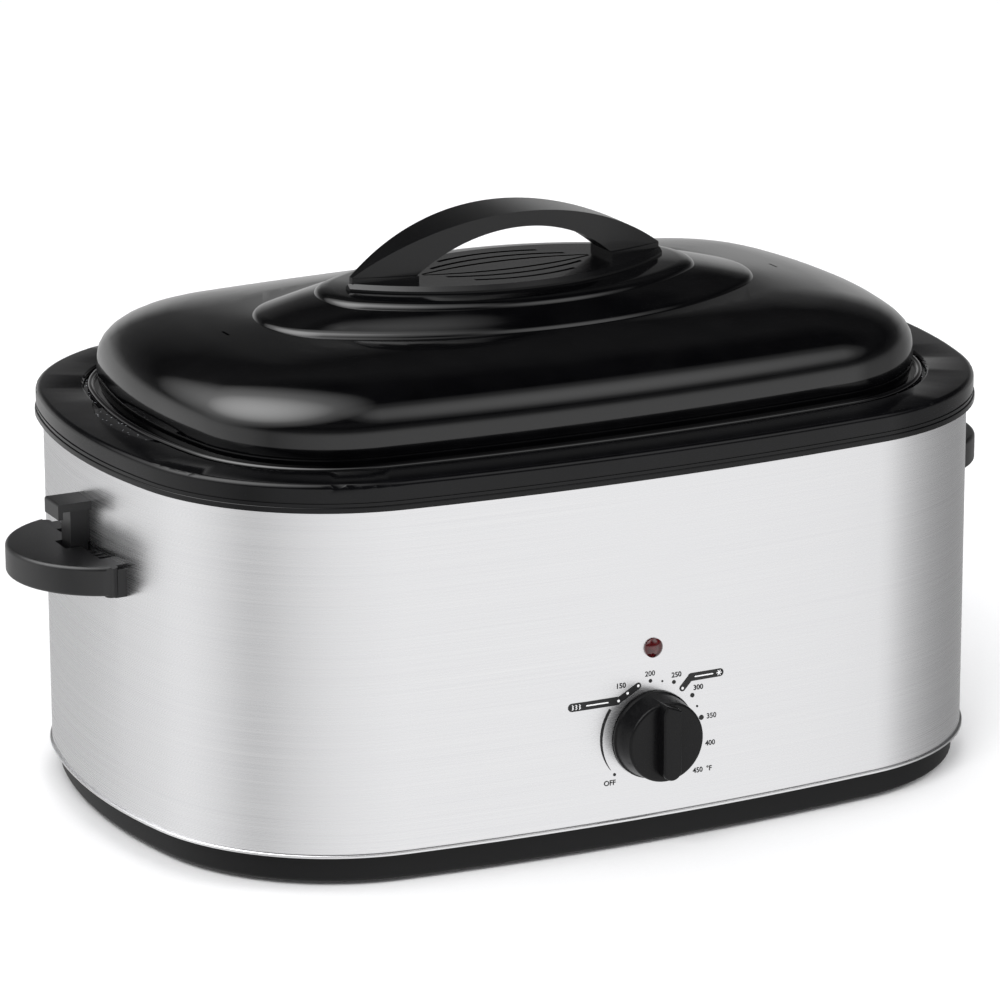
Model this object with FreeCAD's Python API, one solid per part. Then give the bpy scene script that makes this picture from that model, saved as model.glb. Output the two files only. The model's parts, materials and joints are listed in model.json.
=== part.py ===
import FreeCAD, Part
import math
import os

os.makedirs("parts", exist_ok=True)
V = FreeCAD.Vector

# Body plan: half sizes of the steel wrap and the radii of its three kinds of arc
HALF_L = 282.0
HALF_W = 195.2
R_SIDE = 1504.0
R_END = 378.0
R_CORNER = 130.6

# The frame's origin is under the middle of the whole, knob included, so the body sits back by this much
FRAME_Y = 8.25

# Sheet, moulding and clearance values
SHEET = 0.8
ENAMEL = 1.5
MOULD = 3.0
GAP = 0.3
RUN_GAP = 0.08
SHIELD_IN = -SHEET - GAP

# Heights up the body
FOOT_H = 2.5
BASE_TOP = 20.0
SHIELD_Z = 24.0
SHIELD_RIM = 9.0
LINER_Z = 46.0
SKIRT_Z = 231.6
WRAP_TOP = 236.0
LEDGE_Z = 243.0
COLLAR_TOP = 248.5
PAN_FLOOR_Z = 72.0

# Offsets from the wrap outline, negative inwards
BASE_IN = -5.2
SKIRT_OUT = 4.2
COLLAR_IN = -25.0
LINER_IN = -42.0
PAN_IN = -46.0
PAN_FOOT_IN = -56.0
LID_RIM_IN = -29.5
LID_WALL_IN = -36.0

# Front panel
DIAL_Z = 72.0
LAMP_Z = 126.0
SHAFT_D = 6.0
KNOB_FLANGE_D = 54.0
KNOB_FACE_D = 49.5
KNOB_H = 18.0
GRIP_H = 26.0
GRIP_W = 12.0
LAMP_D = 12.0
LAMP_NECK_D = 8.8

# Cord inlet
INLET_Z = 40.0
INLET_NECK_D = 14.0
INLET_BORE_D = 8.0
INLET_FLANGE_D = 20.0

# Side handles
HANDLE_Z = 160.0
HANDLE_H = 18.0
HANDLE_HALF = 58.0
HANDLE_REACH = 47.0
HANDLE_OFF = 6.0
NOTCH_HALF = 9.0
SCREW_Y = 43.0
SCREW_D = 4.0

# Lid handle
TOP_Z = 313.0
PLATE_H = 4.0
ARCH_HALF = 110.0
ARCH_RISE = 37.5
ARCH_W = 39.0
ARCH_T = 9.5
PLATE_HALF_W = 47.0
LID_SCREW_X = 88.0
LID_VENT_X = 188.0


def arc(p, q, s):
    return Part.Arc(V(*p), V(*q), V(*s)).toShape()


# Closed outline of eight tangent arcs: flat sides, rounder ends, small corners
def oval(a, b, rs, re, rc, z):
    side = (0.0, b - rs)
    end = (a - re, 0.0)
    r1 = rs - rc
    r2 = re - rc
    gap = math.hypot(end[0] - side[0], end[1] - side[1])
    along = (r1 * r1 - r2 * r2 + gap * gap) / (2 * gap)
    across = math.sqrt(r1 * r1 - along * along)
    ux = (end[0] - side[0]) / gap
    uy = (end[1] - side[1]) / gap
    cx = side[0] + along * ux + across * uy
    cy = side[1] + along * uy - across * ux
    t1 = math.atan2(cy - side[1], cx - side[0])
    t2 = math.atan2(cy - end[1], cx - end[0])
    on = lambda c, r, t: (c[0] + r * math.cos(t), c[1] + r * math.sin(t))
    top = (0.0, b)
    quarter = [
        (a, 0.0), on(end, re, t2 / 2), on(end, re, t2),
        on((cx, cy), rc, (t1 + t2) / 2), on(side, rs, t1),
        on(side, rs, (t1 + math.pi / 2) / 2), top,
    ]
    e, em, p, pm, q, qm, t = quarter
    edges = []
    flip = lambda w, sx, sy: (w[0] * sx, w[1] * sy, z)
    edges.append(arc(flip(p, 1, -1), flip(e, 1, 1), flip(p, 1, 1)))
    edges.append(arc(flip(p, 1, 1), flip(pm, 1, 1), flip(q, 1, 1)))
    edges.append(arc(flip(q, 1, 1), flip(t, 1, 1), flip(q, -1, 1)))
    edges.append(arc(flip(q, -1, 1), flip(pm, -1, 1), flip(p, -1, 1)))
    edges.append(arc(flip(p, -1, 1), flip(e, -1, 1), flip(p, -1, -1)))
    edges.append(arc(flip(p, -1, -1), flip(pm, -1, -1), flip(q, -1, -1)))
    edges.append(arc(flip(q, -1, -1), flip(t, 1, -1), flip(q, 1, -1)))
    edges.append(arc(flip(q, 1, -1), flip(pm, 1, -1), flip(p, 1, -1)))
    return Part.Wire(edges)


def plan(d, z):
    return oval(HALF_L + d, HALF_W + d, R_SIDE + d, R_END + d, R_CORNER + d, z)


def slab(d, z0, z1):
    return Part.Face(plan(d, z0)).extrude(V(0, 0, z1 - z0))


def ring(d_out, d_in, z0, z1):
    return slab(d_out, z0, z1).cut(slab(d_in, z0, z1))


def box(x0, x1, y0, y1, z0, z1):
    return Part.makeBox(x1 - x0, y1 - y0, z1 - z0, V(x0, y0, z0))


def rod(p, d, length, axis):
    return Part.makeCylinder(d / 2, length, V(*p), V(*axis))


def join(shapes):
    out = shapes[0].fuse(shapes[1:])
    return out.removeSplitter()


def group(shapes):
    return Part.makeCompound(shapes)


def edges_at(shape, z):
    near = lambda e: abs(e.BoundBox.ZMin - z) < 1e-3 and abs(e.BoundBox.ZMax - z) < 1e-3
    return [e for e in shape.Edges if near(e)]


def tube_along(wire, centre, normal, radius):
    ring_edge = Part.Circle(V(*centre), V(*normal), radius).toShape()
    pipe = wire.makePipeShell([Part.Wire([ring_edge])], True, True)
    return Part.Solid(pipe) if pipe.ShapeType != "Solid" else pipe


def save(node, shape):
    out = shape.Solids[0].copy() if len(shape.Solids) == 1 else shape.copy()
    out.translate(V(0, FRAME_Y, 0))
    out.exportStep("parts/" + node + ".step")


# Front wall position at a distance x from the middle
def front_y(x, d=0.0):
    across = Part.makeLine(V(x, -2 * HALF_W, 0), V(x, 0, 0))
    return plan(d, 0).distToShape(across)[1][0][0].y


# Base, feet and lower screws
BOSSES = [(sx * 170.0, sy * 95.0) for sx in (-1, 1) for sy in (-1, 1)]
FEET = [(sx * 205.0, sy * 130.0) for sx in (-1, 1) for sy in (-1, 1)]
BOSS_D = 11.0
BASE_SCREW_D = 3.0
BASE_HEAD_D = 7.0
SEAT_Z = FOOT_H + 2.4


def base_tray():
    body = slab(BASE_IN, FOOT_H, BASE_TOP)
    body = body.makeFillet(3.0, edges_at(body, FOOT_H))
    floor_z = FOOT_H + MOULD
    body = body.cut(slab(BASE_IN - MOULD, floor_z, BASE_TOP + 1))
    posts = [rod((x, y, floor_z), BOSS_D, SHIELD_Z - floor_z, (0, 0, 1)) for x, y in BOSSES]
    ribs = []
    for x, y in BOSSES:
        ribs.append(box(x - 1, x + 1, y - 14, y + 14, floor_z, floor_z + 12))
        ribs.append(box(x - 14, x + 14, y - 1, y + 1, floor_z, floor_z + 12))
    body = join([body] + posts + ribs)
    cuts = []
    for x, y in BOSSES:
        cuts.append(rod((x, y, 0), BASE_SCREW_D + 2 * RUN_GAP, SHIELD_Z + 1, (0, 0, 1)))
        cuts.append(rod((x, y, 0), BASE_HEAD_D + 2 * GAP, SEAT_Z, (0, 0, 1)))
    for row in range(-2, 3):
        for col in range(-3, 4):
            cx = col * 34.0
            cy = row * 18.0
            slot = box(cx - 10, cx + 10, cy - 2, cy + 2, 0, floor_z + 1)
            cuts.append(slot)
    return body.cut(cuts)


def base_feet():
    feet = []
    for x, y in FEET:
        feet.append(Part.makeCone(9.5, 11.0, FOOT_H, V(x, y, 0), V(0, 0, 1)))
    return group(feet)


def base_screws():
    out = []
    for x, y in BOSSES:
        head = rod((x, y, SEAT_Z - 2.0), BASE_HEAD_D, 2.0, (0, 0, 1))
        shank = rod((x, y, SEAT_Z - 0.5), BASE_SCREW_D, SHIELD_Z + 6.0 - SEAT_Z, (0, 0, 1))
        slot = box(x - 2.5, x + 2.5, y - 0.5, y + 0.5, SEAT_Z - 2.0, SEAT_Z - 1.2)
        out.append(head.fuse(shank).removeSplitter().cut(slot))
    return group(out)


def base_nuts():
    out = []
    for x, y in BOSSES:
        top = SHIELD_Z + SHEET
        hexagon = Part.makePolygon([V(x + 3.2 * math.cos(k * math.pi / 3),
                                      y + 3.2 * math.sin(k * math.pi / 3), top) for k in range(7)])
        nut = Part.Face(hexagon).extrude(V(0, 0, 2.4))
        out.append(nut.cut(rod((x, y, top), BASE_SCREW_D + 2 * RUN_GAP, 3, (0, 0, 1))))
    return group(out)


def heat_shield():
    plate = slab(SHIELD_IN, SHIELD_Z, SHIELD_Z + SHEET)
    rim = ring(SHIELD_IN, SHIELD_IN - SHEET, SHIELD_Z, SHIELD_Z + SHIELD_RIM)
    body = join([plate, rim])
    holes = [rod((x, y, SHIELD_Z - 1), BASE_SCREW_D + 2 * RUN_GAP, 5, (0, 0, 1)) for x, y in BOSSES]
    wires = box(-20, 20, HALF_W - 40, HALF_W - 20, SHIELD_Z - 1, SHIELD_Z + 2)
    return body.cut(holes + [wires])


# Steel wrap with its turned-in hem and holes
def handle_screw_axes():
    out = []
    for side in (-1, 1):
        for y in (-SCREW_Y, SCREW_Y):
            out.append((side, y))
    return out


def outer_wrap():
    wall = ring(0, -SHEET, BASE_TOP, WRAP_TOP)
    hem = ring(0, BASE_IN - MOULD, BASE_TOP, BASE_TOP + SHEET)
    lip = slab(1.5, BASE_TOP, BASE_TOP + 1.6)
    lip = lip.makeFillet(0.7, edges_at(lip, BASE_TOP + 1.6))
    lip = lip.cut(slab(-SHEET, BASE_TOP, BASE_TOP + 1.6))
    body = join([wall, hem, lip])
    cuts = [
        rod((0, -HALF_W - 5, DIAL_Z), SHAFT_D + 3.0, 12, (0, 1, 0)),
        rod((0, -HALF_W - 5, LAMP_Z), LAMP_NECK_D + 2 * RUN_GAP, 12, (0, 1, 0)),
        rod((0, HALF_W - 8, INLET_Z), INLET_NECK_D + 2 * RUN_GAP, 14, (0, 1, 0)),
    ]
    for side, y in handle_screw_axes():
        start = V(side * (HALF_L - 20), y, HANDLE_Z + HANDLE_H / 2)
        cuts.append(Part.makeCylinder(SCREW_D / 2 + RUN_GAP, 30, start, V(side, 0, 0)))
    return body.cut(cuts)


# Enamelled collar: stepped skirt, wide flat top, inner well and pan ledge
LUG_HALF = 40.0
RECESS_Z = 245.6
RECESS_R = 120.0
RECESS_BULGE = 9.0
PLATE_UNDER = 243.5


# Disc whose edge bulges past the collar's inner edge at one end of the body
def end_disc(side, radius, z, height):
    x = HALF_L + COLLAR_IN + RECESS_BULGE - RECESS_R
    return rod((side * x, 0, z), 2 * radius, height, (0, 0, 1))


def collar():
    skirt = slab(SKIRT_OUT, SKIRT_Z, COLLAR_TOP)
    skirt = skirt.makeFillet(3.4, edges_at(skirt, COLLAR_TOP))
    lower = slab(SKIRT_OUT + 0.8, SKIRT_Z, SKIRT_Z + 3.4)
    lower = lower.makeFillet(0.7, edges_at(lower, SKIRT_Z + 3.4))
    body = join([skirt, lower])
    body = body.cut(slab(RUN_GAP + 0.2, SKIRT_Z, WRAP_TOP))
    body = body.cut(slab(-3.0, SKIRT_Z, PLATE_UNDER))
    groove = ring(SKIRT_OUT + 2, SKIRT_OUT - 0.7, SKIRT_Z + 5.4, SKIRT_Z + 6.6)
    body = body.cut(groove)
    body = body.cut(slab(COLLAR_IN, SKIRT_Z, COLLAR_TOP + 1))
    wall = ring(COLLAR_IN + 2.0, COLLAR_IN, LEDGE_Z - 2.0, COLLAR_TOP - 2.0)
    ledge = ring(COLLAR_IN + 2.0, LINER_IN + 0.4, LEDGE_Z - 2.0, LEDGE_Z)
    body = join([body, wall, ledge])
    body = body.makeFillet(1.4, [e for e in edges_at(body, COLLAR_TOP)
                                 if e.BoundBox.XMax < HALF_L + COLLAR_IN + 1 and
                                 e.BoundBox.YMax < HALF_W + COLLAR_IN + 1])
    recesses = [end_disc(s, RECESS_R, RECESS_Z, COLLAR_TOP + 1 - RECESS_Z) for s in (-1, 1)]
    hole = rod((116.5, -HALF_W - 12, 244.4), 2.0, 10, (0, 1, 0))
    return body.cut(recesses + [hole])


def inner_liner():
    top = LEDGE_Z + SHEET
    shell = slab(LINER_IN, LINER_Z, top)
    shell = shell.makeFillet(14.0, edges_at(shell, LINER_Z))
    core = slab(LINER_IN - SHEET, LINER_Z + SHEET, top + 1)
    core = core.makeFillet(13.2, edges_at(core, LINER_Z + SHEET))
    flange = ring(COLLAR_IN - GAP, LINER_IN, LEDGE_Z, top)
    return join([shell.cut(core), flange])


# Plate behind the front wall that carries the thermostat and the lamp
PLATE_HALF = 44.0
PLATE_LOW = DIAL_Z - 24.0
PLATE_HIGH = LAMP_Z + 14.0
PLATE_T = 1.6


# Heater band round the well
COIL_D = 6.4
COILS = (92.0, 116.0)
CLIP_OUT = LINER_IN + COIL_D


def heating_element():
    d = LINER_IN + COIL_D / 2
    loops = []
    for z in COILS:
        start = (HALF_L + d, 0, z)
        loops.append(tube_along(plan(d, z), start, (0, 1, 0), COIL_D / 2))
    y = HALF_W + d
    legs = []
    for x in (-14.0, 14.0):
        legs.append(rod((x, y, COILS[0]), COIL_D, COILS[1] - COILS[0], (0, 0, 1)))
    return join(loops + legs)


CLIP_SPOTS = [(-150, -1), (-80, -1), (80, -1), (150, -1), (-150, 1), (-80, 1), (80, 1), (150, 1)]


def element_clips():
    z0 = COILS[0] - COIL_D / 2 - 3.0
    z1 = COILS[1] + COIL_D / 2 + 3.0
    strap = ring(CLIP_OUT + 1.0, CLIP_OUT, z0, z1)
    legs = ring(CLIP_OUT + 1.0, LINER_IN, z0, z0 + 1.2)
    legs = legs.fuse(ring(CLIP_OUT + 1.0, LINER_IN, z1 - 1.2, z1))
    whole = strap.fuse(legs).removeSplitter()
    out = []
    for x, s in CLIP_SPOTS:
        zone = box(x - 5, x + 5, min(0, s * 300), max(0, s * 300), 0, 300)
        out.append(whole.common(zone))
    return group(out)


# Blanket that fills the space behind the steel wrap, with openings for the controls and the cord
def insulation_blanket():
    z0 = SHIELD_Z + SHIELD_RIM
    body = ring(-SHEET - GAP, CLIP_OUT + 2.0, z0, WRAP_TOP - 3.0)
    wide = PLATE_HALF + 2.0
    front = box(-wide, wide, -HALF_W - 5, 0, PLATE_LOW - 2.0, PLATE_HIGH + 2.0)
    half = INLET_FLANGE_D / 2 + 2.0
    back = box(-half, half, 0, HALF_W + 5, z0 - 1, INLET_Z + half)
    pockets = []
    for side, y in handle_screw_axes():
        start = (side * (HALF_L - 20), y, HANDLE_Z + HANDLE_H / 2)
        pockets.append(rod(start, 2 * SCREW_D + 2 * GAP, 22, (side, 0, 0)))
    return body.cut([front, back] + pockets)


# Thermostat, its bracket and the sensing bulb
BRACKET_Y = front_y(PLATE_HALF, -SHEET)


def thermostat_bracket():
    y0 = BRACKET_Y
    body = box(-PLATE_HALF, PLATE_HALF, y0, y0 + PLATE_T, PLATE_LOW, PLATE_HIGH)
    foot = box(-PLATE_HALF, PLATE_HALF, y0, y0 + 11, PLATE_LOW, PLATE_LOW + PLATE_T)
    shaft = rod((0, y0 - 1, DIAL_Z), SHAFT_D + 2 * RUN_GAP, 5, (0, 1, 0))
    neck = rod((0, y0 - 1, LAMP_Z), LAMP_NECK_D + 2 * RUN_GAP, 5, (0, 1, 0))
    return join([body, foot]).cut([shaft, neck])


def thermostat_body():
    y0 = BRACKET_Y + PLATE_T
    can = rod((0, y0, DIAL_Z), 34.0, 12, (0, 1, 0))
    can = can.makeFillet(1.5, [e for e in can.Edges if e.BoundBox.YMin > y0 + 11])
    tabs = [box(s * 16 - 3, s * 16 + 3, y0 + 10, y0 + 17, DIAL_Z - 4, DIAL_Z + 4) for s in (-1, 1)]
    blade = box(-4, 4, y0 + 11, y0 + 15, DIAL_Z - 10, DIAL_Z + 10)
    body = join([can, blade] + tabs)
    return body.cut(rod((0, y0 - 1, DIAL_Z), SHAFT_D + 2 * RUN_GAP, 8, (0, 1, 0)))


def thermostat_bulb():
    y = front_y(0, LINER_IN + 2.5)
    bulb = rod((-38, y, 74), 5.0, 76, (1, 0, 0))
    return bulb.makeFillet(1.2, bulb.Edges[0:1])


def thermostat_shaft():
    y0 = -HALF_W - 15.0
    body = rod((0, y0, DIAL_Z), SHAFT_D, BRACKET_Y + 7.0 - y0, (0, 1, 0))
    flat = box(-4, 4, y0 - 1, y0 + 15, DIAL_Z + SHAFT_D / 2 - 1.2, DIAL_Z + 5)
    return body.cut(flat)


# Dial knob: low flange, raised face and a tapered grip with a pointed end
KNOB_Y = -HALF_W - 0.5


def control_knob():
    y = KNOB_Y
    r0 = KNOB_FLANGE_D / 2
    r1 = KNOB_FACE_D / 2
    prof = [
        Part.makeLine(V(0, y, DIAL_Z), V(r0, y, DIAL_Z)),
        Part.makeLine(V(r0, y, DIAL_Z), V(r0, y - 1.6, DIAL_Z)),
        Part.makeLine(V(r0, y - 1.6, DIAL_Z), V(r0 - 0.9, y - 2.6, DIAL_Z)),
        Part.makeLine(V(r0 - 0.9, y - 2.6, DIAL_Z), V(r1, y - KNOB_H + 2, DIAL_Z)),
        arc((r1, y - KNOB_H + 2, DIAL_Z), (r1 - 0.6, y - KNOB_H + 0.6, DIAL_Z),
            (r1 - 2.0, y - KNOB_H, DIAL_Z)),
        Part.makeLine(V(r1 - 2.0, y - KNOB_H, DIAL_Z), V(0, y - KNOB_H, DIAL_Z)),
        Part.makeLine(V(0, y - KNOB_H, DIAL_Z), V(0, y, DIAL_Z)),
    ]
    disc = Part.Face(Part.Wire(prof)).revolve(V(0, 0, DIAL_Z), V(0, 1, 0), 360)
    top = DIAL_Z + r1 + 0.6
    low = DIAL_Z - r1 + 3.0
    w = GRIP_W / 2
    y1 = y - GRIP_H
    side = [
        Part.makeLine(V(-w, y, top - 6), V(-w + 2, y, top)),
        Part.makeLine(V(-w + 2, y, top), V(w, y, top - 4)),
        Part.makeLine(V(w, y, top - 4), V(w, y, low + 5)),
        arc((w, y, low + 5), (0, y, low), (-w, y, low + 5)),
        Part.makeLine(V(-w, y, low + 5), V(-w, y, top - 6)),
    ]
    bar = Part.Face(Part.Wire(side)).extrude(V(0, y1 - y, 0))
    bar = bar.makeFillet(1.6, [e for e in bar.Edges if e.BoundBox.YMax < y1 + 1e-3])
    body = join([disc, bar])
    bore_len = HALF_W + 15.0 + y
    bore = rod((0, y + 1, DIAL_Z), SHAFT_D, bore_len + 1, (0, -1, 0))
    key = box(-4, 4, y - bore_len - 1, y + 1, DIAL_Z + SHAFT_D / 2 - 1.2, DIAL_Z + 5)
    return body.cut(bore.cut(key))


# Pilot lamp
def pilot_lens():
    y = -HALF_W
    flange = rod((0, y - 1.0, LAMP_Z), LAMP_D, 1.0, (0, 1, 0))
    ball_r = (LAMP_D * LAMP_D / 4 + 9.0) / 6.0
    ball = Part.makeSphere(ball_r, V(0, y - 1.0 - 3.0 + ball_r, LAMP_Z))
    dome = ball.common(box(-10, 10, y - 8, y - 1.0, LAMP_Z - 10, LAMP_Z + 10))
    neck = rod((0, y - 0.5, LAMP_Z), LAMP_NECK_D, 8.5, (0, 1, 0))
    return join([flange, dome, neck])


def pilot_holder():
    y = BRACKET_Y + PLATE_T
    body = rod((0, y, LAMP_Z), 15.0, 3.0, (0, 1, 0)).fuse(rod((0, y, LAMP_Z), 12.0, 18.0, (0, 1, 0)))
    pins = [rod((s * 3, y + 17, LAMP_Z), 1.6, 6, (0, 1, 0)) for s in (-1, 1)]
    deep = 9.0 - HALF_W - y
    bore = rod((0, y - 1, LAMP_Z), LAMP_NECK_D + 2 * RUN_GAP, deep, (0, 1, 0))
    return join([body.cut(bore)] + pins)


# Cord inlet bushing and terminal block at the back
def cord_gland():
    y = HALF_W
    flange = rod((0, y, INLET_Z), INLET_FLANGE_D, 3.0, (0, 1, 0))
    flange = flange.makeFillet(1.0, [e for e in flange.Edges if e.BoundBox.YMin > y + 2.9])
    neck = rod((0, y - 7.0, INLET_Z), INLET_NECK_D, 7.5, (0, 1, 0))
    body = join([flange, neck])
    return body.cut(rod((0, y - 10, INLET_Z), INLET_BORE_D, 20, (0, 1, 0)))


def terminal_block():
    z0 = FOOT_H + MOULD
    y0 = HALF_W - 62.0
    body = box(-27, 27, y0, y0 + 18, z0, z0 + 16)
    body = body.makeFillet(1.5, edges_at(body, z0 + 16))
    cuts = []
    for k in range(3):
        x = (k - 1) * 17.0
        cuts.append(rod((x, y0 - 1, z0 + 6), 5.0, 20, (0, 1, 0)))
        cuts.append(rod((x, y0 + 9, z0 + 10), 6.0, 8, (0, 0, 1)))
    return body.cut(cuts)


# Side handle: crescent that stands off the wall on two end blocks and a wall rail
def crescent(half, reach, x_in, z0, z1):
    tip = (x_in, half, z0)
    mid = (x_in - reach, 0, z0)
    low = (x_in, -half, z0)
    edge = [arc(tip, mid, low), Part.makeLine(V(*low), V(*tip))]
    return Part.Face(Part.Wire(edge)).extrude(V(0, 0, z1 - z0))


def left_handle():
    x_in = -HALF_L - HANDLE_OFF
    z0 = HANDLE_Z
    z1 = HANDLE_Z + HANDLE_H
    reach = HANDLE_REACH - HANDLE_OFF
    body = crescent(HANDLE_HALF, reach, x_in, z0, z1)
    outer = lambda z: [e for e in edges_at(body, z) if e.BoundBox.XMin < x_in - 5]
    body = body.makeFillet(2.6, outer(z1))
    body = body.makeFillet(2.0, outer(z0))
    blunt = HANDLE_HALF - 1.5
    body = body.common(box(-HALF_L - 80, 0, -blunt, blunt, z0, z1))
    hollow = crescent(HANDLE_HALF - 12, reach - 9.0, x_in - 5.0, z0 - 1, z1 - MOULD)
    keep = [box(-HALF_L - 60, 0, s * SCREW_Y - 7, s * SCREW_Y + 7, 0, 300) for s in (-1, 1)]
    keep.append(box(-HALF_L - 19, 0, -NOTCH_HALF - 3, NOTCH_HALF + 3, z0 - 2, z1))
    hollow = hollow.cut(keep)
    body = body.cut(hollow)
    rail = box(-HALF_L - 3.4, -HALF_L + 20, -HANDLE_HALF + 3, HANDLE_HALF - 3, z0 - 2, z1 - 3)
    pieces = [body, rail]
    for s in (-1, 1):
        block = box(x_in - 6, -HALF_L + 20, s * SCREW_Y - 8, s * SCREW_Y + 8, z0, z1 - 1)
        pieces.append(block)
        tip = rod((x_in + 1.0, s * (HANDLE_HALF - 5.0), z0 - 1), 8.0, HANDLE_H, (0, 0, 1))
        pieces.append(tip)
        for k in range(3):
            y = s * (NOTCH_HALF + 6 + k * 6.0)
            pieces.append(box(x_in - 2.0, -HALF_L + 20, y - 1.2, y + 1.2, z0 + 2, z1 - 2))
    body = join(pieces).cut(slab(0, 0, 2 * COLLAR_TOP))
    bores = [box(-HALF_L - 16, 0, -NOTCH_HALF, NOTCH_HALF, z1 - 8, z1 + 1)]
    for y in (-SCREW_Y, SCREW_Y):
        bores.append(rod((-HALF_L + 20, y, z0 + HANDLE_H / 2), SCREW_D + 2 * RUN_GAP, 36, (-1, 0, 0)))
    return body.cut(bores)


# Upright hook that the lid leans on: post with an overhanging cap and a turned-down lip
def left_lid_rest():
    x = -HALF_L
    z0 = HANDLE_Z + HANDLE_H - 8
    post = box(x - 12, x - 1, -7.5, 7.5, z0, z0 + 31)
    foot = box(x - 13, x + 20, -8.5, 8.5, z0, z0 + 4)
    cap = box(x - 21, x + 20, -11, 11, z0 + 31, z0 + 36)
    lip = box(x - 21, x - 18, -11, 11, z0 + 26.5, z0 + 32)
    back = box(x - 4, x + 20, -7.5, 7.5, z0 + 10, z0 + 32)
    body = join([post, foot, cap, lip, back])
    body = body.cut(slab(0, 0, 2 * COLLAR_TOP))
    top = z0 + 36
    return body.makeFillet(1.4, [e for e in edges_at(body, top) if e.BoundBox.XMax < x - 20])


def turned(shape):
    out = shape.copy()
    out.rotate(V(0, 0, 0), V(0, 0, 1), 180)
    return out


def handle_screws():
    out = []
    z = HANDLE_Z + HANDLE_H / 2
    y_far = SCREW_Y + SCREW_D
    r = R_END - SHEET
    seat = HALF_L - R_END + math.sqrt(r * r - y_far * y_far)
    for side, y in handle_screw_axes():
        head = rod((side * (seat - 3.0), y, z), 2 * SCREW_D, 3.0, (side, 0, 0))
        shank = rod((side * (seat - 1.0), y, z), SCREW_D, 15.0, (side, 0, 0))
        cross = box(-0.5, 0.5, -3, 3, -0.5, 0.5)
        cross.translate(V(side * (seat - 3.0), y, z))
        out.append(head.fuse(shank).removeSplitter().cut(cross))
    return group(out)


# Removable pan with end lugs
def cooking_pan():
    top = LEDGE_Z + SHEET
    foot = PAN_FLOOR_Z
    outer = Part.makeLoft([plan(PAN_FOOT_IN, foot), plan(PAN_IN, top)], True, True)
    outer = outer.makeFillet(20.0, edges_at(outer, foot))
    inner = Part.makeLoft([plan(PAN_FOOT_IN - ENAMEL, foot + ENAMEL),
                           plan(PAN_IN - ENAMEL, top + 3)], True, True)
    inner = inner.makeFillet(18.5, edges_at(inner, foot + ENAMEL))
    inner = inner.common(slab(0, foot, top + ENAMEL + 1))
    flange = ring(COLLAR_IN - 2 * GAP, PAN_IN, top, top + ENAMEL)
    over = ring(PAN_IN, PAN_IN - ENAMEL - 0.4, top - 0.2, top + ENAMEL)
    body = join([outer.cut(inner), flange, over])
    edge = COLLAR_IN - 2 * GAP
    zone = [box(s * 280 - 80, s * 280 + 80, -LUG_HALF, LUG_HALF, 200, 300) for s in (-1, 1)]
    tabs = [end_disc(s, RECESS_R - 1.0, RECESS_Z + 0.2, ENAMEL) for s in (-1, 1)]
    lug = group(tabs).cut(slab(edge - ENAMEL, RECESS_Z, COLLAR_TOP))
    riser = ring(edge, edge - ENAMEL, top, RECESS_Z + 0.2 + ENAMEL)
    lug = lug.fuse(riser).common(group(zone))
    return join([body, lug])


# Wire rack
RACK_Z = PAN_FLOOR_Z + ENAMEL + 10.0
RACK_IN = -84.0
WIRE_D = 4.0
BAR_D = 3.0


def rack_rim():
    z = RACK_Z
    loop = tube_along(plan(RACK_IN, z), (HALF_L + RACK_IN, 0, z), (0, 1, 0), WIRE_D / 2)
    legs = []
    for sx in (-1, 1):
        for sy in (-1, 1):
            x = sx * 110.0
            y = sy * -front_y(110.0, RACK_IN)
            base = PAN_FLOOR_Z + ENAMEL
            legs.append(rod((x, y, base), WIRE_D, z - base, (0, 0, 1)))
    return join([loop] + legs)


def rack_bars():
    z = RACK_Z - WIRE_D / 2 - BAR_D / 2
    out = []
    for k in range(-6, 7):
        x = k * 26.0
        half = abs(front_y(x, RACK_IN)) if abs(x) < 100 else abs(front_y(x, RACK_IN)) - 1.0
        out.append(rod((x, -half, z), BAR_D, 2 * half, (0, 1, 0)))
    return group(out)


def rack_loops():
    out = []
    z0 = RACK_Z + WIRE_D / 2
    z1 = z0 + 70
    x = HALF_L + RACK_IN - 1.0
    for s in (-1, 1):
        r = 14.0
        h = 40.0
        c = math.sqrt(0.5)
        pts = [V(s * x, -h, z0), V(s * x, -h, z1 - r), V(s * x, -h + r, z1), V(s * x, h - r, z1),
               V(s * x, h, z1 - r), V(s * x, h, z0)]
        path = Part.Wire([
            Part.makeLine(pts[0], pts[1]),
            arc(pts[1], (s * x, -h + r - r * c, z1 - r + r * c), pts[2]),
            Part.makeLine(pts[2], pts[3]),
            arc(pts[3], (s * x, h - r + r * c, z1 - r + r * c), pts[4]),
            Part.makeLine(pts[4], pts[5]),
        ])
        out.append(tube_along(path, (s * x, -h, z0), (0, 0, 1), WIRE_D / 2))
    return group(out)


# Lid: steep glossy side, broad dome and two stepped ovals
STEP_A = (165.0, 90.0)
STEP_B = (125.0, 72.0)
FULLNESS = 0.96
SHOULDER = 78.0


# Radii of a nearly elliptical outline with half sizes a and b
def oval_radii(a, b):
    re = b * 2 / 3
    limit = ((a - re) * (a - re) + b * b - re * re) / (2 * (b - re))
    return (FULLNESS * limit, re, b / 2)


def step_oval(a, b, z, thin=0.0):
    rs, re, rc = oval_radii(a, b)
    return oval(a - thin, b - thin, rs - thin, re - thin, rc - thin, z - thin)


def blend(s, z, thin=0.0):
    low = [v - SHOULDER for v in (HALF_L, HALF_W, R_SIDE, R_END, R_CORNER)]
    high = list(STEP_A) + list(oval_radii(*STEP_A))
    a, b, rs, re, rc = [(1 - s) * p + s * q - thin for p, q in zip(low, high)]
    return oval(a, b, rs, re, rc, z - thin)


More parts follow.
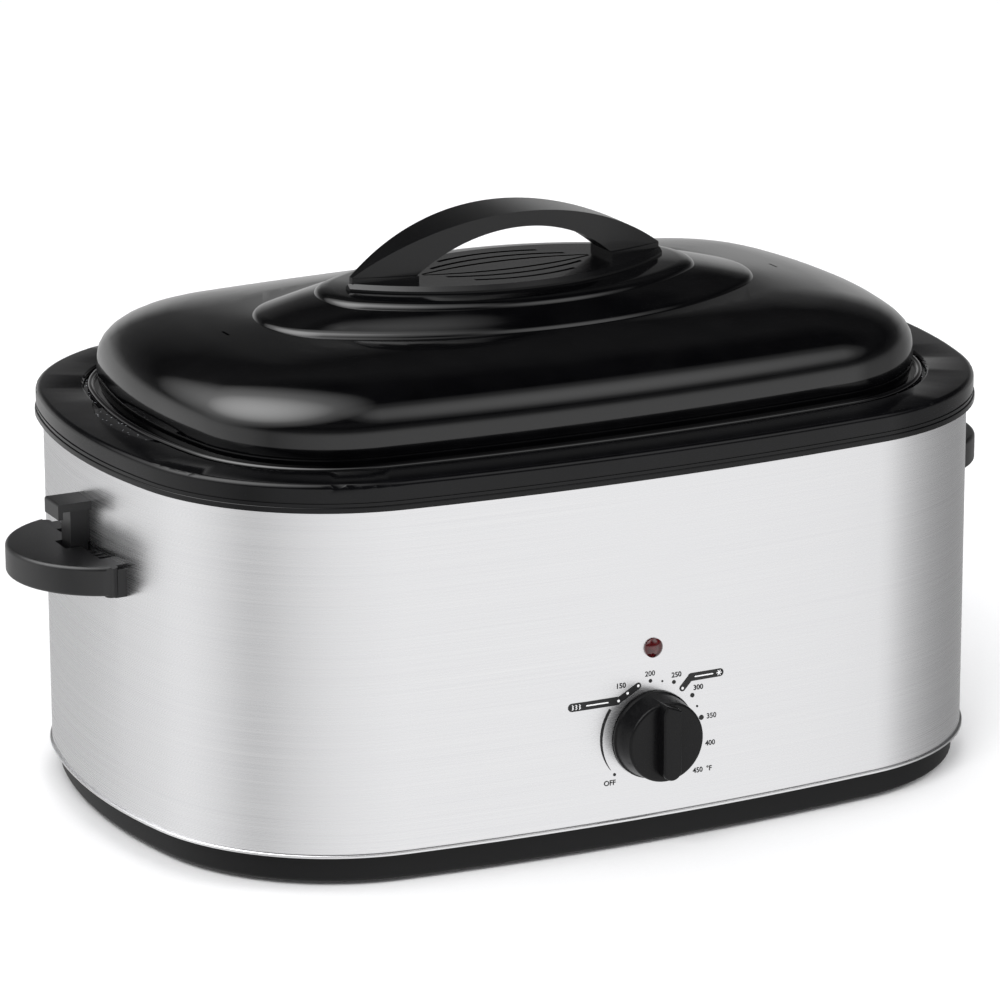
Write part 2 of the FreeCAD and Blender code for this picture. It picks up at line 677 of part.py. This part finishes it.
# Levels of the lid as (offset, z), (blend towards the outer oval, z) and (half a, half b, z)
SIDE_LEVELS = [(-34.4, 250.0), (-33.6, 254.0), (-33.4, 260.0), (-33.8, 266.0), (-35.0, 271.0),
               (-37.6, 275.6), (-41.6, 279.8), (-47.2, 283.6), (-54.6, 287.0), (-64.5, 290.2),
               (-SHOULDER, 293.2)]
BLEND_LEVELS = [(0.2, 294.4), (0.4, 295.5), (0.6, 296.5), (0.8, 297.4), (1.0, 298.2)]
STEP_LEVELS = [(164.2, 89.2, 299.4), (162.6, 87.8, 300.4), (159.0, 85.8, 301.3), (152.0, 82.8, 303.2),
               (143.0, 79.2, 305.4), (134.0, 75.6, 307.4), STEP_B + (309.0,),
               (124.4, 71.4, 310.2), (123.0, 70.0, 311.3), (120.5, 68.0, 312.3), (115.0, 63.0, TOP_Z)]


def lid_solid(thin):
    low = LEDGE_Z + SHEET + ENAMEL - thin * 2
    wires = [plan(LID_WALL_IN - thin, low)]
    wires += [plan(d - thin, z - thin) for d, z in SIDE_LEVELS]
    wires += [blend(s, z, thin) for s, z in BLEND_LEVELS]
    wires += [step_oval(a, b, z, thin) for a, b, z in STEP_LEVELS]
    return Part.makeLoft(wires, True, True)


def lid_shell():
    foot = LEDGE_Z + SHEET + ENAMEL
    body = lid_solid(0.0).cut(lid_solid(1.2))
    flange = ring(LID_RIM_IN, LID_WALL_IN, foot, foot + 1.2)
    bead = tube_along(plan(LID_RIM_IN, foot + 2.0), (HALF_L + LID_RIM_IN, 0, foot + 2.0), (0, 1, 0), 2.0)
    body = join([body, flange, bead])
    cuts = [rod((s * LID_SCREW_X, 0, TOP_Z - 5), SCREW_D + 2 * RUN_GAP, 10, (0, 0, 1)) for s in (-1, 1)]
    for s in (-1, 1):
        x = s * LID_VENT_X
        cuts.append(box(x - 0.7, x + 0.7, -5, 5, LEDGE_Z, TOP_Z))
    return body.cut(cuts)


# Almond outline with its long axis on X
def almond(half, wide, z):
    return Part.Wire([arc((-half, 0, z), (0, wide, z), (half, 0, z)),
                      arc((half, 0, z), (0, -wide, z), (-half, 0, z))])


def almond_slab(half, wide, z0, z1):
    return Part.Face(almond(half, wide, z0)).extrude(V(0, 0, z1 - z0))


def lid_handle_plate():
    top = TOP_Z + PLATE_H
    bevel = Part.makeLoft([almond(ARCH_HALF, PLATE_HALF_W, top - 2.6),
                           almond(ARCH_HALF - 3.6, PLATE_HALF_W - 3.0, top)], True, True)
    body = join([almond_slab(ARCH_HALF, PLATE_HALF_W, TOP_Z, top - 2.6), bevel])
    blunt = ARCH_HALF - 3.0
    body = body.common(box(-blunt, blunt, -PLATE_HALF_W - 1, PLATE_HALF_W + 1, TOP_Z, top))
    cuts = []
    for half, wide, reach in ((62.0, 12.0, 57.0), (68.0, 23.0, 46.0), (74.0, 34.0, 34.0)):
        band = almond_slab(half, wide, top - 1.6, top + 1)
        band = band.cut(almond_slab(half - 5.5, wide - 3.2, top - 1.6, top + 1))
        cuts.append(band.common(box(-reach, reach, -wide - 1, wide + 1, top - 2, top + 2)))
    for s in (-1, 1):
        cuts.append(rod((s * LID_SCREW_X, 0, TOP_Z - 1), SCREW_D + 2 * RUN_GAP, 20, (0, 0, 1)))
    return body.cut(cuts)


def lid_handle():
    z = TOP_Z + PLATE_H
    peak = z + ARCH_RISE
    inner_half = ARCH_HALF - 40.0
    under = peak - ARCH_T
    y0 = -ARCH_W
    side = [
        arc((-ARCH_HALF, y0, z), (0, y0, peak), (ARCH_HALF, y0, z)),
        Part.makeLine(V(ARCH_HALF, y0, z), V(inner_half, y0, z)),
        arc((inner_half, y0, z), (0, y0, under), (-inner_half, y0, z)),
        Part.makeLine(V(-inner_half, y0, z), V(-ARCH_HALF, y0, z)),
    ]
    arch = Part.Face(Part.Wire(side)).extrude(V(0, 2 * ARCH_W, 0))
    body = arch.common(almond_slab(ARCH_HALF, ARCH_W / 2, z, peak + 1))
    blunt = ARCH_HALF - 5.0
    body = body.common(box(-blunt, blunt, -ARCH_W, ARCH_W, z, peak + 1))
    bead = almond_slab(ARCH_HALF, ARCH_W / 2 + 3.0, z, z + 3.4)
    foot = inner_half - 4.0
    keep = [box(min(s * foot, s * blunt), max(s * foot, s * blunt), -60, 60, z - 1, z + 5) for s in (-1, 1)]
    bead = bead.common(group(keep))
    body = join([body, bead])
    bores = [rod((s * LID_SCREW_X, 0, z - 1), SCREW_D + 2 * RUN_GAP, 10, (0, 0, 1)) for s in (-1, 1)]
    return body.cut(bores)


WASHER_T = 0.8


def lid_washers():
    z = TOP_Z - 1.2 - WASHER_T
    out = []
    for s in (-1, 1):
        disc = rod((s * LID_SCREW_X, 0, z), 11.0, WASHER_T, (0, 0, 1))
        out.append(disc.cut(rod((s * LID_SCREW_X, 0, z - 1), SCREW_D + 2 * RUN_GAP, 3, (0, 0, 1))))
    return group(out)


def lid_screws():
    z = TOP_Z - 1.2 - WASHER_T
    out = []
    for s in (-1, 1):
        x = s * LID_SCREW_X
        head = rod((x, 0, z - 2.6), 8.0, 2.6, (0, 0, 1))
        shank = rod((x, 0, z - 1.0), SCREW_D, 1.0 + WASHER_T + 1.2 + PLATE_H + 8.0, (0, 0, 1))
        slot = box(x - 3, x + 3, -0.5, 0.5, z - 2.6, z - 1.6)
        out.append(head.fuse(shank).removeSplitter().cut(slot))
    return group(out)


PARTS = [
    ("base_tray", base_tray), ("base_feet", base_feet), ("base_screws", base_screws),
    ("base_nuts", base_nuts), ("heat_shield", heat_shield), ("outer_wrap", outer_wrap),
    ("top_collar", collar), ("inner_liner", inner_liner), ("heating_element", heating_element),
    ("element_clips", element_clips), ("insulation_blanket", insulation_blanket),
    ("thermostat_bracket", thermostat_bracket), ("thermostat_body", thermostat_body),
    ("thermostat_bulb", thermostat_bulb), ("thermostat_shaft", thermostat_shaft),
    ("control_knob", control_knob), ("pilot_lens", pilot_lens), ("pilot_holder", pilot_holder),
    ("cord_gland", cord_gland), ("terminal_block", terminal_block),
    ("left_handle", left_handle), ("right_handle", lambda: turned(left_handle())),
    ("left_lid_rest", left_lid_rest), ("right_lid_rest", lambda: turned(left_lid_rest())),
    ("handle_screws", handle_screws), ("cooking_pan", cooking_pan),
    ("rack_rim", rack_rim), ("rack_bars", rack_bars), ("rack_loops", rack_loops),
    ("lid_shell", lid_shell), ("lid_handle_plate", lid_handle_plate),
    ("lid_handle", lid_handle), ("lid_washers", lid_washers), ("lid_screws", lid_screws),
]

for node, make in PARTS:
    save(node, make())
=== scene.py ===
import bpy
import json
import math
from mathutils import Matrix, Vector


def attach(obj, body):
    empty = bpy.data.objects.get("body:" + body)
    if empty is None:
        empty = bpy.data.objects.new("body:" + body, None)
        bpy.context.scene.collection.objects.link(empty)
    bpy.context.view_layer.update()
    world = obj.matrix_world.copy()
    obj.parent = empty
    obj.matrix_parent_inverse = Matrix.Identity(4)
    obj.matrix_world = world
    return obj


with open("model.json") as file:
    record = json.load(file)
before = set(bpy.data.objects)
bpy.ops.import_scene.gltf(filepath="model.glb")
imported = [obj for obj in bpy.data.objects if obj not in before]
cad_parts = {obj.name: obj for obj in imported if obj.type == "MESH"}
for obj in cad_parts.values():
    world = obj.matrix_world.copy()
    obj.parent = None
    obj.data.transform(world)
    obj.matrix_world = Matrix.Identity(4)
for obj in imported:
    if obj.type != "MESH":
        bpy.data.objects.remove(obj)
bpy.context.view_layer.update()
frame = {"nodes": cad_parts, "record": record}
nodes = frame["nodes"]
MM = 0.001

# Sizes of the steel front that the dial print follows, in metres
HALF_W = 0.1952
R_SIDE = 1.504
BODY_Y = 0.00825
DIAL_Z = 0.072


def srgb(text):
    out = []
    for i in (0, 2, 4):
        c = int(text[i:i + 2], 16) / 255
        out.append(c / 12.92 if c <= 0.04045 else ((c + 0.055) / 1.055) ** 2.4)
    return out + [1.0]


def add(tree, kind, **values):
    node = tree.nodes.new(kind)
    for key, value in values.items():
        if key.startswith("in_"):
            node.inputs[key[3:].replace("_", " ")].default_value = value
        else:
            setattr(node, key, value)
    return node


def new_material(name):
    mat = bpy.data.materials.new(name)
    mat.use_nodes = True
    tree = mat.node_tree
    tree.nodes.clear()
    out = add(tree, "ShaderNodeOutputMaterial")
    bsdf = add(tree, "ShaderNodeBsdfPrincipled")
    tree.links.new(bsdf.outputs[0], out.inputs[0])
    return mat, tree, bsdf


def grain(tree, scale, detail=3.0):
    coord = add(tree, "ShaderNodeTexCoord")
    place = add(tree, "ShaderNodeMapping", in_Scale=scale)
    noise = add(tree, "ShaderNodeTexNoise", in_Scale=1.0, in_Detail=detail)
    tree.links.new(coord.outputs["Object"], place.inputs["Vector"])
    tree.links.new(place.outputs[0], noise.inputs["Vector"])
    return noise.outputs["Fac"]


# The noise mostly lies between these two values
NOISE_LOW = 0.3
NOISE_HIGH = 0.7


def spread(tree, value, low, high):
    node = add(tree, "ShaderNodeMapRange")
    node.inputs["From Min"].default_value = NOISE_LOW
    node.inputs["From Max"].default_value = NOISE_HIGH
    node.inputs["To Min"].default_value = low
    node.inputs["To Max"].default_value = high
    tree.links.new(value, node.inputs["Value"])
    return node.outputs[0]


def two_tone(tree, value, dark, light):
    node = add(tree, "ShaderNodeMix", data_type="RGBA")
    node.inputs[6].default_value = dark
    node.inputs[7].default_value = light
    tree.links.new(value, node.inputs[0])
    return node.outputs[2]


def bumped(tree, bsdf, value, strength, depth_mm):
    node = add(tree, "ShaderNodeBump", in_Strength=strength, in_Distance=depth_mm * MM)
    tree.links.new(value, node.inputs["Height"])
    tree.links.new(node.outputs[0], bsdf.inputs["Normal"])


# A surface with a fine real-size grain that varies its colour, roughness and relief
def surface(name, dark, light, rough, per_m, metal=0.0, coat=0.0, bump=0.0, depth_mm=0.02, detail=3.0):
    mat, tree, bsdf = new_material(name)
    value = grain(tree, per_m, detail)
    tree.links.new(two_tone(tree, spread(tree, value, 0.0, 1.0), srgb(dark), srgb(light)),
                   bsdf.inputs["Base Color"])
    tree.links.new(spread(tree, value, rough[0], rough[1]), bsdf.inputs["Roughness"])
    bsdf.inputs["Metallic"].default_value = metal
    bsdf.inputs["Coat Weight"].default_value = coat
    bsdf.inputs["Coat Roughness"].default_value = 0.04
    if bump:
        bumped(tree, bsdf, value, bump, depth_mm)
    return mat, tree, bsdf


def even(n):
    return (n, n, n)


def brushed_steel():
    mat, tree, bsdf = surface("brushed_steel", "d6d6d8", "e0e0e1", (0.24, 0.31), (5.0, 5.0, 3600.0),
                              metal=1.0, bump=0.02, depth_mm=0.02, detail=2.0)
    bsdf.inputs["Anisotropic"].default_value = 0.65
    around = add(tree, "ShaderNodeTangent", direction_type="RADIAL", axis="Z")
    tree.links.new(around.outputs[0], bsdf.inputs["Tangent"])
    return mat


SPECKS_PER_M = 330.0
SPECK_REACH = 0.16


def pan_enamel():
    mat, tree, bsdf = surface("pan_enamel", "0c0c0e", "121215", (0.10, 0.18), even(140.0), coat=0.4)
    coord = add(tree, "ShaderNodeTexCoord")
    cells = add(tree, "ShaderNodeTexVoronoi", in_Scale=SPECKS_PER_M)
    tree.links.new(coord.outputs["Object"], cells.inputs["Vector"])
    dots = add(tree, "ShaderNodeMath", operation="LESS_THAN")
    dots.inputs[1].default_value = SPECK_REACH
    tree.links.new(cells.outputs["Distance"], dots.inputs[0])
    base = two_tone(tree, dots.outputs[0], srgb("0e0e10"), srgb("b9bcc0"))
    tree.links.new(base, bsdf.inputs["Base Color"])
    return mat


def lamp_red():
    mat, tree, bsdf = surface("lamp_red", "3a0508", "5c0a10", (0.05, 0.12), even(300.0), coat=1.0)
    bsdf.inputs["Transmission Weight"].default_value = 0.35
    bsdf.inputs["IOR"].default_value = 1.49
    return mat


def plain(*args, **kw):
    return surface(*args, **kw)[0]


# Black finishes mirror less than the bright metal, so each has its own reflection level
def black(*args, mirror=0.2, **kw):
    mat, tree, bsdf = surface(*args, **kw)
    bsdf.inputs["Specular IOR Level"].default_value = mirror
    return mat


# Finishes by the material slots of the record: colours, roughness range and grain per metre
MATERIALS = {
    "brushed_steel": brushed_steel(),
    "pan_enamel": pan_enamel(),
    "lamp_red": lamp_red(),
    "black_enamel": black("black_enamel", "050506", "08080a", (0.12, 0.18), even(60.0), coat=0.12,
                          bump=0.03, depth_mm=0.05),
    "lid_enamel": black("lid_enamel", "030304", "060607", (0.08, 0.13), even(45.0), coat=0.5, mirror=0.3,
                        bump=0.02, depth_mm=0.05),
    "base_black": black("base_black", "0a0a0b", "101011", (0.42, 0.55), even(1500.0), bump=0.2),
    "foot_rubber": plain("foot_rubber", "151515", "1d1d1d", (0.7, 0.85), even(900.0), bump=0.3),
    "zinc": plain("zinc", "a9abad", "c9cacc", (0.22, 0.38), even(800.0), metal=1.0, bump=0.1),
    "galvanised": plain("galvanised", "8e9194", "b4b7ba", (0.35, 0.55), even(90.0), metal=0.9, bump=0.1),
    "element_steel": plain("element_steel", "4d4a48", "6d6a66", (0.4, 0.6), even(500.0), metal=0.9,
                           bump=0.2),
    "glass_wool": plain("glass_wool", "c9c2a4", "ece6cf", (0.9, 1.0), even(350.0), bump=0.9, depth_mm=0.8),
    "thermostat_resin": plain("thermostat_resin", "1d1916", "2b2521", (0.4, 0.55), even(900.0), bump=0.2),
    "copper": plain("copper", "9a5a3c", "c37a55", (0.25, 0.4), even(400.0), metal=1.0, bump=0.1),
    "knob_black": black("knob_black", "09090a", "0f0f10", (0.26, 0.36), even(1800.0), bump=0.12),
    "holder_nylon": plain("holder_nylon", "c4c1b6", "d8d5cb", (0.45, 0.6), even(700.0), bump=0.1),
    "gland_black": plain("gland_black", "101010", "1a1a1a", (0.45, 0.6), even(1300.0), bump=0.15),
    "block_white": plain("block_white", "d3d0c6", "e6e3da", (0.45, 0.6), even(700.0), bump=0.1),
    "handle_black": plain("handle_black", "0c0c0d", "141415", (0.28, 0.40), even(1600.0), bump=0.15),
    "handle_gloss": black("handle_gloss", "070708", "0c0c0d", (0.16, 0.24), even(1200.0), coat=0.3,
                          bump=0.05),
    "chrome_wire": plain("chrome_wire", "b5b7ba", "d4d6d9", (0.06, 0.14), even(600.0), metal=1.0, bump=0.03),
}

SLOTS = {sub["node"]: sub["material_slot"] for sub in frame["record"]["subparts"]}
for name, obj in nodes.items():
    mesh = obj.data
    mat = MATERIALS[SLOTS[name]]
    if len(mesh.materials) == 0:
        mesh.materials.append(mat)
    for i in range(len(mesh.materials)):
        mesh.materials[i] = mat

# One node group that rounds the shading over shallow creases of a pressed or moulded piece
def round_shading(angle_deg):
    tree = bpy.data.node_groups.new("round_shading", "GeometryNodeTree")
    tree.interface.new_socket("Geometry", in_out="INPUT", socket_type="NodeSocketGeometry")
    angle = tree.interface.new_socket("Angle", in_out="INPUT", socket_type="NodeSocketFloat")
    angle.default_value = math.radians(angle_deg)
    tree.interface.new_socket("Geometry", in_out="OUTPUT", socket_type="NodeSocketGeometry")
    source = add(tree, "NodeGroupInput")
    result = add(tree, "NodeGroupOutput")
    weld = add(tree, "GeometryNodeMergeByDistance", in_Distance=0.00001)
    clear = add(tree, "GeometryNodeRemoveAttribute", in_Name="custom_normal")
    faces = add(tree, "GeometryNodeSetShadeSmooth", domain="FACE")
    edge = add(tree, "GeometryNodeInputMeshEdgeAngle")
    less = add(tree, "FunctionNodeCompare", operation="LESS_THAN")
    edges = add(tree, "GeometryNodeSetShadeSmooth", domain="EDGE")
    join = tree.links.new
    join(source.outputs[0], weld.inputs["Geometry"])
    join(weld.outputs[0], clear.inputs["Geometry"])
    join(clear.outputs[0], faces.inputs["Geometry"])
    join(faces.outputs[0], edges.inputs["Geometry"])
    join(edge.outputs["Unsigned Angle"], less.inputs[0])
    join(source.outputs[1], less.inputs[1])
    join(less.outputs[0], edges.inputs["Shade Smooth"])
    join(edges.outputs[0], result.inputs[0])
    return tree


ROUNDED = ("lid_shell", "top_collar", "cooking_pan", "base_tray", "outer_wrap", "control_knob",
           "left_handle", "right_handle", "lid_handle", "lid_handle_plate", "inner_liner")
CREASE_DEG = 32.0
rounding = round_shading(CREASE_DEG)
for name in ROUNDED:
    mod = nodes[name].modifiers.new("rounded", "NODES")
    mod.node_group = rounding

# Print on the front panel: thin solids that lie on the curved wall
INK = plain("print_ink", "0b0b0c", "141416", (0.45, 0.6), even(2500.0), bump=0.1, depth_mm=0.01)
PALE_INK = plain("print_pale", "e6e6e6", "f2f2f2", (0.5, 0.65), even(2500.0), bump=0.1, depth_mm=0.01)
LIFT = 0.06 * MM
THICK = 0.05 * MM
GLYPH_FATTEN = 0.07


def wall_y(x):
    return BODY_Y - HALF_W + R_SIDE - math.sqrt(R_SIDE * R_SIDE - x * x)


class Print:
    def __init__(self):
        self.verts = []
        self.faces = []

    def put(self, x, z, layer):
        self.verts.append((x * MM, wall_y(x * MM) - layer, DIAL_Z + z * MM))
        return len(self.verts) - 1

    # A closed prism over a polygon given anticlockwise as seen from the front
    def prism(self, points, lift):
        n = len(points)
        front = [self.put(x, z, lift + THICK) for x, z in points]
        back = [self.put(x, z, lift) for x, z in points]
        self.faces.append(tuple(front))
        self.faces.append(tuple(reversed(back)))
        for i in range(n):
            j = (i + 1) % n
            self.faces.append((front[i], back[i], back[j], front[j]))

    def disc(self, x, z, r, lift=LIFT, n=24):
        turn = [2 * math.pi * k / n for k in range(n)]
        self.prism([(x + r * math.cos(t), z + r * math.sin(t)) for t in turn], lift)

    def capsule(self, x0, z0, x1, z1, r, lift=LIFT, n=10):
        t = math.atan2(z1 - z0, x1 - x0)
        pts = []
        for k in range(n + 1):
            u = t - math.pi / 2 + math.pi * k / n
            pts.append((x1 + r * math.cos(u), z1 + r * math.sin(u)))
        for k in range(n + 1):
            u = t + math.pi / 2 + math.pi * k / n
            pts.append((x0 + r * math.cos(u), z0 + r * math.sin(u)))
        self.prism(pts, lift)

    def words(self, text, x, z, size, lift=LIFT):
        curve = bpy.data.curves.new("glyphs", "FONT")
        curve.body = text
        curve.size = size
        curve.align_x = "CENTER"
        curve.align_y = "CENTER"
        curve.extrude = 0.5
        curve.offset = GLYPH_FATTEN
        curve.resolution_u = 4
        holder = bpy.data.objects.new("glyphs", curve)
        bpy.context.scene.collection.objects.link(holder)
        graph = bpy.context.evaluated_depsgraph_get()
        mesh = bpy.data.meshes.new_from_object(holder.evaluated_get(graph))
        base = len(self.verts)
        for v in mesh.vertices:
            px = x + v.co.x
            self.put(px, z + v.co.y, lift + (THICK if v.co.z > 0 else 0.0))
        for p in mesh.polygons:
            self.faces.append(tuple(base + i for i in p.vertices))
        bpy.data.objects.remove(holder)
        bpy.data.curves.remove(curve)
        bpy.data.meshes.remove(mesh)

    def piece(self, name, mat):
        mesh = bpy.data.meshes.new(name)
        mesh.from_pydata(self.verts, [], self.faces)
        mesh.materials.append(mat)
        mesh.validate()
        obj = bpy.data.objects.new(name, mesh)
        bpy.context.scene.collection.objects.link(obj)
        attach(obj, "housing")
        return obj


def at(angle, r):
    t = math.radians(angle)
    return (r * math.sin(t), r * math.cos(t))


# Dial print, in millimetres across and up from the shaft, and degrees clockwise from straight up
OFF_ANGLE = -130.6
FIRST = -31.0
STEP = 28.05
DOT_R = 33.5
OFF_DOT = 0.95
DOT_SIZES = (1.2, 1.25, 1.4, 1.6, 1.7, 1.75)
SMALL_DOT = 0.7
LABEL_H = 4.5
LABELS = (("150", -21.4, 33.1), ("200", -2.0, 37.9), ("250", 15.9, 34.6), ("300", 30.8, 24.5),
          ("350", 40.0, 5.2), ("400", 39.3, -11.9), ("450", 30.9, -27.9), ("°F", 38.6, -28.0),
          ("OFF", -28.6, -26.8))
dark = Print()
pale = Print()
for i, size in enumerate(DOT_SIZES):
    dark.disc(*at(FIRST + STEP * (i + 1), DOT_R), size)
    if i in (0, 2, 3):
        dark.disc(*at(FIRST + STEP * (i + 1.5), DOT_R - 0.8), SMALL_DOT)
dark.disc(*at(OFF_ANGLE, DOT_R), OFF_DOT)
for text, x, z in LABELS:
    dark.words(text, x, z, LABEL_H)

# The line that grows thicker from OFF towards the warm range
LINE_START = 7
LINE_SPAN = 68
LINE_THIN = 0.3
LINE_GROWTH = 1.5
LINE_PARTS = 24
outer = []
inner = []
for k in range(LINE_PARTS + 1):
    s = k / LINE_PARTS
    angle = OFF_ANGLE + LINE_START + s * LINE_SPAN
    grown = LINE_GROWTH * math.sin(min(1.0, 1.3 * s) * math.pi / 2)
    outer.append(at(angle, DOT_R + LINE_THIN + grown))
    inner.append(at(angle, DOT_R))
for k in range(LINE_PARTS):
    dark.prism([inner[k], inner[k + 1], outer[k + 1], outer[k]][::-1], LIFT)

# Two range tags, each a bar and a slanted arm, with pale dots, a dash and a plain sign
ARM_R = 2.0
PALE_DOT = 0.85
SIGN_R = 0.26
DASH_R = 0.4
PALE_LIFT = LIFT + THICK
WARM_BAR = (-53.5, 24.1, -24.0, 24.1, 2.6)
WARM_ARM = (-23.0, 24.1, -9.9, 31.6)
WARM_DOTS = ((-23.0, 24.1), (-17.0, 28.0), (-9.9, 31.6))
WARM_DASH = (-44.0, 24.1, -30.0, 24.1)
THAW_ARM = (20.0, 25.6, 25.4, 31.4)
THAW_BAR = (26.0, 31.6, 45.6, 31.6, 2.5)
THAW_DASH = (28.5, 31.6, 40.5, 31.6)
THAW_SIGN = (45.0, 31.6)
STAR_R = 1.6
dark.capsule(*WARM_BAR)
dark.capsule(*WARM_ARM, ARM_R)
for x, z in WARM_DOTS:
    pale.disc(x, z, PALE_DOT, PALE_LIFT)
for k in range(3):
    x = -53.0 + 2.3 * k
    for j in range(4):
        sway = 0.4 if j % 2 else -0.4
        low = 22.7 + j * 0.7
        pale.capsule(x + sway, low, x - sway, low + 0.7, SIGN_R, PALE_LIFT, 4)
pale.capsule(*WARM_DASH, DASH_R, PALE_LIFT, 4)
dark.capsule(*THAW_ARM, ARM_R)
dark.capsule(*THAW_BAR)
pale.disc(*THAW_ARM[:2], PALE_DOT, PALE_LIFT)
for k in range(3):
    t = math.pi * k / 3
    dx = STAR_R * math.cos(t)
    dz = STAR_R * math.sin(t)
    x, z = THAW_SIGN
    pale.capsule(x - dx, z - dz, x + dx, z + dz, SIGN_R, PALE_LIFT, 4)
pale.capsule(*THAW_DASH, DASH_R, PALE_LIFT, 4)
dark.piece("dial_print", INK)
pale.piece("dial_print_pale", PALE_INK)

# Floor, light and camera
half = 9.0
floor_mesh = bpy.data.meshes.new("floor")
floor_mesh.from_pydata([(-half, -half, 0), (half, -half, 0), (half, half, 0), (-half, half, 0)], [],
                       [(0, 1, 2, 3)])
floor = bpy.data.objects.new("floor", floor_mesh)
bpy.context.scene.collection.objects.link(floor)
floor_mesh.materials.append(plain("floor_pale", "fbfbfb", "fdfdfd", (0.75, 0.85), even(400.0)))
floor.visible_glossy = False


def soft_light(name, where, size, watts, aim=(0, 0, 0.15)):
    lamp = bpy.data.lights.new(name, "AREA")
    lamp.shape = "RECTANGLE"
    lamp.size = size[0]
    lamp.size_y = size[1]
    lamp.energy = watts
    obj = bpy.data.objects.new(name, lamp)
    bpy.context.scene.collection.objects.link(obj)
    way = Vector(aim) - Vector(where)
    obj.location = where
    obj.rotation_euler = way.to_track_quat("-Z", "Y").to_euler()
    obj.visible_glossy = False


soft_light("key", (-1.6, -1.8, 2.4), (1.8, 1.4), 60)
soft_light("fill", (2.2, -1.6, 1.5), (1.2, 1.6), 24)
soft_light("back", (0.6, 2.2, 1.9), (2.4, 0.7), 22)

# The room seen in reflections: dim overhead, pale towards the horizon, uneven round the compass
world = bpy.data.worlds.new("studio")
world.use_nodes = True
bpy.context.scene.world = world
wt = world.node_tree
wt.nodes.clear()
w_out = add(wt, "ShaderNodeOutputWorld")
seen = add(wt, "ShaderNodeLightPath")
room = add(wt, "ShaderNodeBackground", in_Color=srgb("f4f4f6"), in_Strength=0.80)
backdrop = add(wt, "ShaderNodeBackground", in_Color=(1, 1, 1, 1), in_Strength=1.0)
coord = add(wt, "ShaderNodeTexCoord")
part = add(wt, "ShaderNodeSeparateXYZ")
wt.links.new(coord.outputs["Generated"], part.inputs[0])


# A grey ramp from pairs of place and level, the two ends first
def levels(stops):
    ramp = add(wt, "ShaderNodeValToRGB")
    row = ramp.color_ramp.elements
    for i, (place, level) in enumerate(stops):
        stop = row[i] if i < 2 else row.new(place)
        stop.position = place
        stop.color = (level, level, level, 1)
    return ramp


def maths(kind, *values):
    node = add(wt, "ShaderNodeMath", operation=kind)
    for i, value in enumerate(values):
        if isinstance(value, float):
            node.inputs[i].default_value = value
        else:
            wt.links.new(value, node.inputs[i])
    return node.outputs[0]


# Light by compass direction, in degrees from the front towards the right, then by height
BAND_POWER = 1.45
AROUND = ((-180, 0.45), (180, 0.42), (-155, 0.47), (-148, 0.52), (-140, 0.67), (-109, 0.78), (-85, 0.66),
          (-68, 0.43), (-50, 0.60), (-24, 0.73), (14, 0.80), (40, 0.82), (47, 0.80), (60, 0.45), (86, 0.27),
          (110, 0.24))
UPWARD = ((0.0, 1.0), (1.0, 0.01), (0.12, 0.9), (0.28, 0.18), (0.45, 0.03), (0.62, 0.08), (0.74, 0.02))
compass = maths("ARCTAN2", part.outputs["X"], maths("MULTIPLY", part.outputs["Y"], -1.0))
share = maths("MULTIPLY_ADD", compass, 1 / (2 * math.pi), 0.5)
around = levels([((deg + 180) / 360, level) for deg, level in AROUND])
wt.links.new(share, around.inputs[0])
height = levels(UPWARD)
wt.links.new(part.outputs["Z"], height.inputs[0])
band = maths("MULTIPLY", around.outputs[0], height.outputs[0])

# Soft windows overhead that show in the dome's left shoulder and along its front
WINDOWS = (((-0.50, 0.18, 0.84), 6.0, 0.66), ((0.42, -0.42, 0.80), 1.5, 0.86))
total = maths("MULTIPLY", band, BAND_POWER)
for aim, power, edge in WINDOWS:
    toward = add(wt, "ShaderNodeVectorMath", operation="DOT_PRODUCT")
    toward.inputs[1].default_value = Vector(aim).normalized()
    wt.links.new(coord.outputs["Generated"], toward.inputs[0])
    window = levels(((0.0, 0.0), (1.0, 1.0), (edge, 0.0), ((edge + 1.0) / 2, 0.25)))
    wt.links.new(toward.outputs["Value"], window.inputs[0])
    total = maths("ADD", total, maths("MULTIPLY", window.outputs[0], power))
gloss = add(wt, "ShaderNodeBackground", in_Color=(1, 1, 1, 1))
wt.links.new(total, gloss.inputs["Strength"])
mix_gloss = add(wt, "ShaderNodeMixShader")
mix_seen = add(wt, "ShaderNodeMixShader")
wt.links.new(seen.outputs["Is Glossy Ray"], mix_gloss.inputs[0])
wt.links.new(room.outputs[0], mix_gloss.inputs[1])
wt.links.new(gloss.outputs[0], mix_gloss.inputs[2])
wt.links.new(seen.outputs["Is Camera Ray"], mix_seen.inputs[0])
wt.links.new(mix_gloss.outputs[0], mix_seen.inputs[1])
wt.links.new(backdrop.outputs[0], mix_seen.inputs[2])
wt.links.new(mix_seen.outputs[0], w_out.inputs[0])

cam = bpy.data.cameras.new("camera")
cam.lens = 188.13
cam.sensor_width = 36
cam.clip_end = 60
eye = Vector((-1.3870, -2.79245, 1.0809))
look = Vector((0.1022, 0.23145, 0.094))
shift = Vector((0.003, 0.0, 0.0))
cam_obj = bpy.data.objects.new("camera", cam)
bpy.context.scene.collection.objects.link(cam_obj)
cam_obj.location = eye + shift
turn = (look - eye).to_track_quat("-Z", "Y").to_matrix()
cam_obj.rotation_euler = (turn @ Matrix.Rotation(math.radians(-0.22), 3, "Z")).to_euler()
bpy.context.scene.camera = cam_obj

bpy.context.scene.view_settings.view_transform = "Standard"
